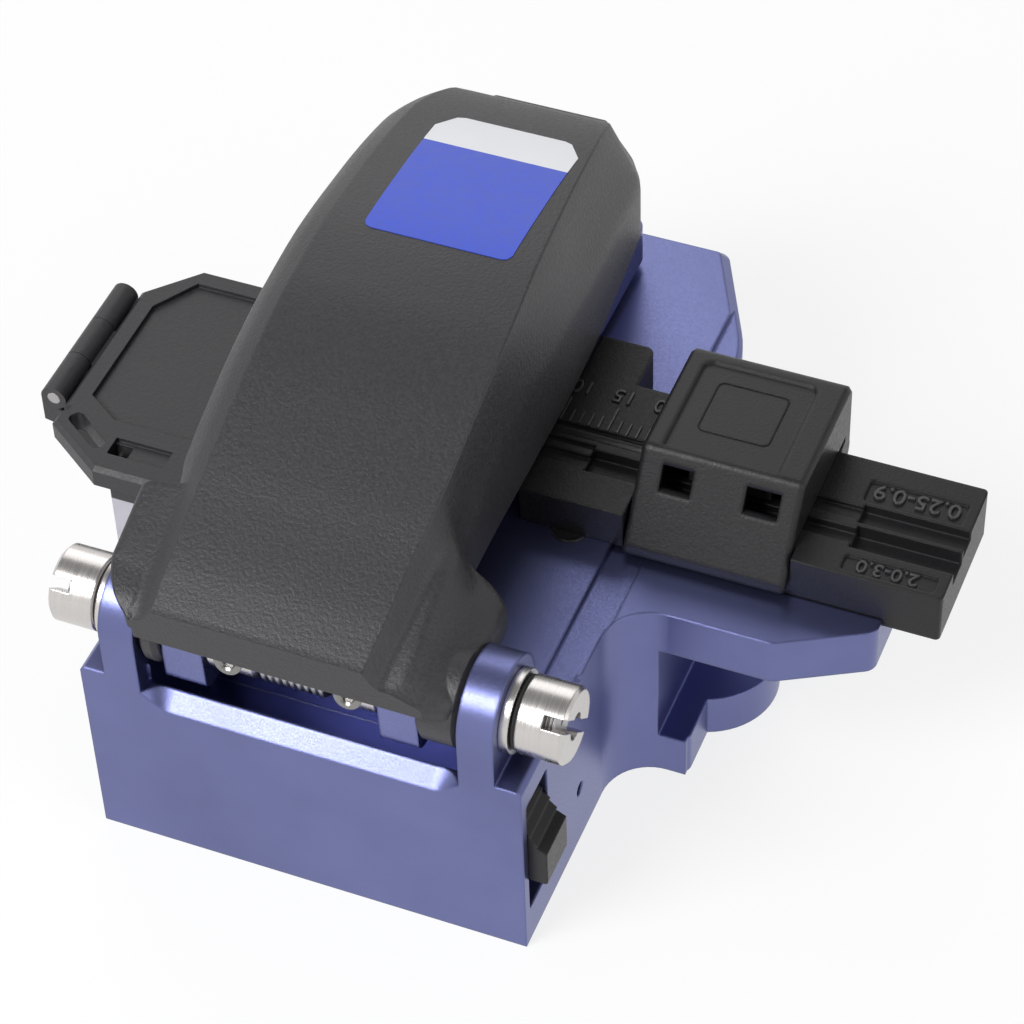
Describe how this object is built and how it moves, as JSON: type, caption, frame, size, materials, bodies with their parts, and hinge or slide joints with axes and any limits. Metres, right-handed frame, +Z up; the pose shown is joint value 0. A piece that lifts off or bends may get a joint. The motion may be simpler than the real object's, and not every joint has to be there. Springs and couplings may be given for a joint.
{
  "type": "optical fibre cleaver",
  "caption": "Bench-top optical fibre cleaver: anodised block with a sprung lid on a rear hinge, a sliding fibre holder with clamp lid on its right wing and a scrap collector on its left.",
  "frame": {"origin": "on the flat underside, straight below the point where the blade scores the fibre", "axes": "+Z up, normal to the resting face; +X along the fibre towards the fibre holder; +Y towards the front end that lifts when the lid opens"},
  "size_m": [0.0943, 0.0768, 0.0476],
  "materials": {
    "anvil": "satin",
    "base_body": "satin blue-violet anodised",
    "blade_axle": "ground",
    "blade_carriage": "machined",
    "blade_wheel": "ground hard metal",
    "bottom_plate": "fine texture",
    "clamp_lid": "fine spark-eroded texture",
    "clamp_pad": "soft",
    "clamp_pin": "satin",
    "collar_left": "satin",
    "collar_right": "satin",
    "collar_screws": "satin",
    "collector_bin": "translucent grey",
    "collector_door": "fine spark-eroded texture",
    "collector_frame": "fine spark-eroded texture",
    "collector_pin": "satin",
    "end_cap_left": "satin",
    "end_cap_right": "satin",
    "fibre_holder": "fine spark-eroded texture",
    "flange_ring_left": "satin",
    "flange_ring_right": "satin",
    "guide_rods": "ground",
    "hinge_bush": "satin",
    "hinge_hub": "satin",
    "hinge_shaft": "satin",
    "label_plate": "printed film",
    "lid_arm": "satin blue-violet anodised",
    "lid_bumper": "soft",
    "lid_cover": "fine spark-eroded texture",
    "lock_slide": "fine spark-eroded texture",
    "lower_rubber_left": "soft",
    "lower_rubber_right": "soft",
    "o_ring_left": "soft",
    "o_ring_right": "soft",
    "pad_block_left": "satin",
    "pad_block_right": "satin",
    "ruler_platform": "fine spark-eroded texture",
    "scrap_roller_lower": "soft",
    "scrap_roller_upper": "soft",
    "torsion_spring": "spring wire",
    "upper_pad_left": "satin",
    "upper_pad_right": "satin",
    "upper_rubber_left": "soft",
    "upper_rubber_right": "soft"
  },
  "bodies": {
    "base": {"base_body": "base_body", "bottom_plate": "bottom_plate", "guide_rods": "guide_rods", "pad_block_left": "pad_block_left", "pad_block_right": "pad_block_right", "lower_rubber_left": "lower_rubber_left", "lower_rubber_right": "lower_rubber_right", "hinge_shaft": "hinge_shaft", "flange_ring_left": "flange_ring_left", "flange_ring_right": "flange_ring_right", "o_ring_left": "o_ring_left", "o_ring_right": "o_ring_right", "end_cap_left": "end_cap_left", "end_cap_right": "end_cap_right", "collar_left": "collar_left", "collar_right": "collar_right", "collar_screws": "collar_screws", "hinge_bush": "hinge_bush", "hinge_hub": "hinge_hub", "torsion_spring": "torsion_spring", "ruler_platform": "ruler_platform", "lid_bumper": "lid_bumper", "collector_bin": "collector_bin", "collector_frame": "collector_frame", "collector_pin": "collector_pin"},
    "lid": {"lid_arm": "lid_arm", "lid_cover": "lid_cover", "label_plate": "label_plate", "upper_pad_left": "upper_pad_left", "upper_pad_right": "upper_pad_right", "upper_rubber_left": "upper_rubber_left", "upper_rubber_right": "upper_rubber_right"},
    "anvil": {"anvil": "anvil"},
    "carriage": {"blade_carriage": "blade_carriage", "blade_axle": "blade_axle"},
    "wheel": {"blade_wheel": "blade_wheel"},
    "lock": {"lock_slide": "lock_slide"},
    "holder": {"fibre_holder": "fibre_holder"},
    "clamp": {"clamp_lid": "clamp_lid", "clamp_pin": "clamp_pin", "clamp_pad": "clamp_pad"},
    "door": {"collector_door": "collector_door"},
    "roller_low": {"scrap_roller_lower": "scrap_roller_lower"},
    "roller_high": {"scrap_roller_upper": "scrap_roller_upper"}
  },
  "joints": [
    {"name": "lid_hinge", "type": "hinge", "parent": "base", "child": "lid", "pos_m": [0, -0.0354, 0.0281], "axis": [1, 0, 0], "range_deg": [0, 60]},
    {"name": "anvil_give", "type": "slide", "parent": "lid", "child": "anvil", "axis": [0, 0, 1], "range_m": [0, 0.0006], "stiffness_N_per_m": 60, "springref_m": -0.001},
    {"name": "carriage_slide", "type": "slide", "parent": "base", "child": "carriage", "axis": [0, -1, 0], "range_m": [0, 0.02]},
    {"name": "blade_turn", "type": "hinge", "parent": "carriage", "child": "wheel", "pos_m": [0, 0.01, 0.0196], "axis": [1, 0, 0], "continuous": true},
    {"name": "lock_slide", "type": "slide", "parent": "base", "child": "lock", "axis": [0, 0, -1], "range_m": [0, 0.0023]},
    {"name": "holder_slide", "type": "slide", "parent": "base", "child": "holder", "axis": [1, 0, 0], "range_m": [0, 0.008]},
    {"name": "clamp_hinge", "type": "hinge", "parent": "holder", "child": "clamp", "pos_m": [0.029, 0.0087, 0.0255], "axis": [-1, 0, 0], "range_deg": [0, 95]},
    {"name": "door_hinge", "type": "hinge", "parent": "base", "child": "door", "pos_m": [-0.0405, -0.002, 0.0244], "axis": [0, -1, 0], "range_deg": [0, 100]},
    {"name": "roller_low_turn", "type": "hinge", "parent": "base", "child": "roller_low", "pos_m": [-0.027, -0.0032, 0.0133], "axis": [0, 1, 0], "continuous": true},
    {"name": "roller_high_turn", "type": "hinge", "parent": "base", "child": "roller_high", "pos_m": [-0.027, -0.0032, 0.018], "axis": [0, 1, 0], "continuous": true}
  ],
  "couplings": [
    {"joint": "roller_high_turn", "follows": "roller_low_turn", "ratio": -1}
  ]
}
